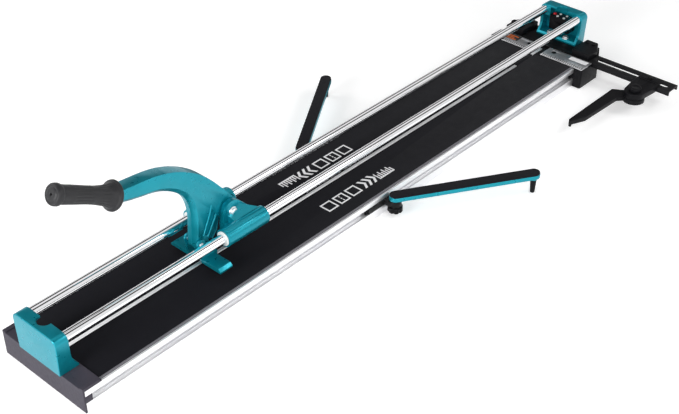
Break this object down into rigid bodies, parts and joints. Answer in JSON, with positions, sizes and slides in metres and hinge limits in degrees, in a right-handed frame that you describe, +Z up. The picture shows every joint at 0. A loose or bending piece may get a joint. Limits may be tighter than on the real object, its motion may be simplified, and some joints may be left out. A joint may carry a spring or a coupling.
{
  "type": "tile cutter",
  "caption": "Manual tile cutter: long padded aluminium deck, twin chromed rails, lever carriage with scoring wheel and breaker foot, folding side supports and sliding angle fence.",
  "frame": {"origin": "middle of the flat underside of the deck beam, half way along the object body and on its centre line", "axes": "+X runs along the rails from the end cap with the grip towards the measuring fence, +Y is to the left seen from the grip, +Z is up from the bench"},
  "size_m": [1.457, 0.589, 0.3385],
  "materials": {
    "teal": "glossy metallic enamel",
    "black_plastic": "fine textured moulding",
    "grey_plastic": "satin moulding",
    "pad_rubber": "matt, fine grain",
    "grip_rubber": "matt, ribbed",
    "alu": "brushed, anodised",
    "chrome": "polished",
    "steel": "zinc plated",
    "brass": "turned",
    "red_plastic": "gloss",
    "trim_plastic": "satin",
    "black_metal": "matt black powder coat",
    "rule_black": "printed aluminium",
    "bush_plastic": "satin"
  },
  "bodies": {
    "base": {"bar_guide_left": "black_plastic", "bar_guide_right": "black_plastic", "base_beam": "alu", "bracket_bolts": "steel", "bracket_nuts": "steel", "centre_pointer": "steel", "centre_strip": "alu", "deck_pad_left": "pad_rubber", "deck_pad_right": "pad_rubber", "edge_trim_left": "trim_plastic", "edge_trim_right": "trim_plastic", "far_bracket": "teal", "far_end_housing": "black_plastic", "guide_screws": "steel", "laser_barrel": "brass", "laser_cover": "black_plastic", "laser_housing": "black_plastic", "laser_screws": "steel", "near_bracket": "teal", "near_end_cap": "grey_plastic", "rail_left": "chrome", "rail_right": "chrome", "rail_set_screws": "steel", "rubber_feet": "pad_rubber", "rule_left": "rule_black", "rule_right": "rule_black", "rule_screws": "steel", "side_extrusion_left": "alu", "side_extrusion_right": "alu"},
    "laser_button": {"laser_button": "red_plastic"},
    "bar_lock": {"bar_lock_knob": "black_plastic"},
    "carriage": {"carriage_casting": "teal", "rail_bushes": "bush_plastic", "pivot_bolt": "steel", "pivot_nut": "steel"},
    "lever": {"lever": "teal", "grip": "grip_rubber", "wheel_axle": "steel"},
    "scoring_wheel": {"scoring_wheel": "steel"},
    "breaker_foot": {"breaker_foot": "teal", "foot_pin": "steel"},
    "gauge_bar": {"gauge_bar": "black_metal"},
    "gauge_block": {"gauge_block": "black_plastic", "gauge_clamp_screw": "steel", "gauge_bolt": "steel"},
    "gauge_arm": {"gauge_arm": "black_plastic"},
    "gauge_knob": {"gauge_knob": "black_plastic"},
    "arm_slider_left": {"arm_slider_left": "black_metal", "arm_bolt_left": "steel"},
    "arm_left": {"arm_bar_left": "teal", "arm_strip_left": "pad_rubber", "arm_foot_left": "black_plastic"},
    "arm_knob_left": {"arm_knob_left": "black_plastic"},
    "arm_slider_right": {"arm_slider_right": "black_metal", "arm_bolt_right": "steel"},
    "arm_right": {"arm_bar_right": "teal", "arm_strip_right": "pad_rubber", "arm_foot_right": "black_plastic"},
    "arm_knob_right": {"arm_knob_right": "black_plastic"}
  },
  "joints": [
    {"name": "carriage_slide", "type": "slide", "parent": "base", "child": "carriage", "axis": [1, 0, 0], "range_m": [-0.262, 0.95]},
    {"name": "lever_hinge", "type": "hinge", "parent": "carriage", "child": "lever", "pos_m": [-0.329, 0, 0.128], "axis": [0, 1, 0], "range_deg": [-9.5, 16]},
    {"name": "wheel_spin", "type": "hinge", "parent": "lever", "child": "scoring_wheel", "pos_m": [-0.387, 0, 0.072], "axis": [0, 1, 0], "continuous": true},
    {"name": "foot_tilt", "type": "hinge", "parent": "lever", "child": "breaker_foot", "pos_m": [-0.402, 0, 0.095], "axis": [0, 1, 0], "range_deg": [-12, 8]},
    {"name": "laser_push", "type": "slide", "parent": "base", "child": "laser_button", "axis": [0, 0, -1], "range_m": [0, 0.0015], "stiffness_N_per_m": 600, "springref_m": -0.001},
    {"name": "bar_lock_turn", "type": "hinge", "parent": "base", "child": "bar_lock", "pos_m": [0.672, 0.098, 0.0637], "axis": [0, 0, 1], "continuous": true},
    {"name": "gauge_bar_slide", "type": "slide", "parent": "base", "child": "gauge_bar", "axis": [0, 1, 0], "range_m": [-0.05, 0.03]},
    {"name": "gauge_block_slide", "type": "slide", "parent": "gauge_bar", "child": "gauge_block", "axis": [0, 1, 0], "range_m": [-0.02, 0.035]},
    {"name": "gauge_arm_swing", "type": "hinge", "parent": "gauge_block", "child": "gauge_arm", "pos_m": [0.605, -0.255, 0.033], "axis": [0, 0, 1], "range_deg": [-20, 90]},
    {"name": "gauge_knob_turn", "type": "hinge", "parent": "gauge_block", "child": "gauge_knob", "pos_m": [0.605, -0.255, 0.055], "axis": [0, 0, 1], "continuous": true},
    {"name": "arm_slide_left", "type": "slide", "parent": "base", "child": "arm_slider_left", "axis": [1, 0, 0], "range_m": [-0.6, 0.27]},
    {"name": "arm_swing_left", "type": "hinge", "parent": "arm_slider_left", "child": "arm_left", "pos_m": [-0.015, 0.12, 0.034], "axis": [0, 0, 1], "range_deg": [-32.5, 147.5]},
    {"name": "arm_knob_turn_left", "type": "hinge", "parent": "arm_slider_left", "child": "arm_knob_left", "pos_m": [-0.015, 0.12, 0.014], "axis": [0, 0, 1], "continuous": true},
    {"name": "arm_slide_right", "type": "slide", "parent": "base", "child": "arm_slider_right", "axis": [1, 0, 0], "range_m": [-0.6, 0.27]},
    {"name": "arm_swing_right", "type": "hinge", "parent": "arm_slider_right", "child": "arm_right", "pos_m": [-0.015, -0.12, 0.034], "axis": [0, 0, -1], "range_deg": [-32.5, 147.5]},
    {"name": "arm_knob_turn_right", "type": "hinge", "parent": "arm_slider_right", "child": "arm_knob_right", "pos_m": [-0.015, -0.12, 0.014], "axis": [0, 0, -1], "continuous": true}
  ]
}
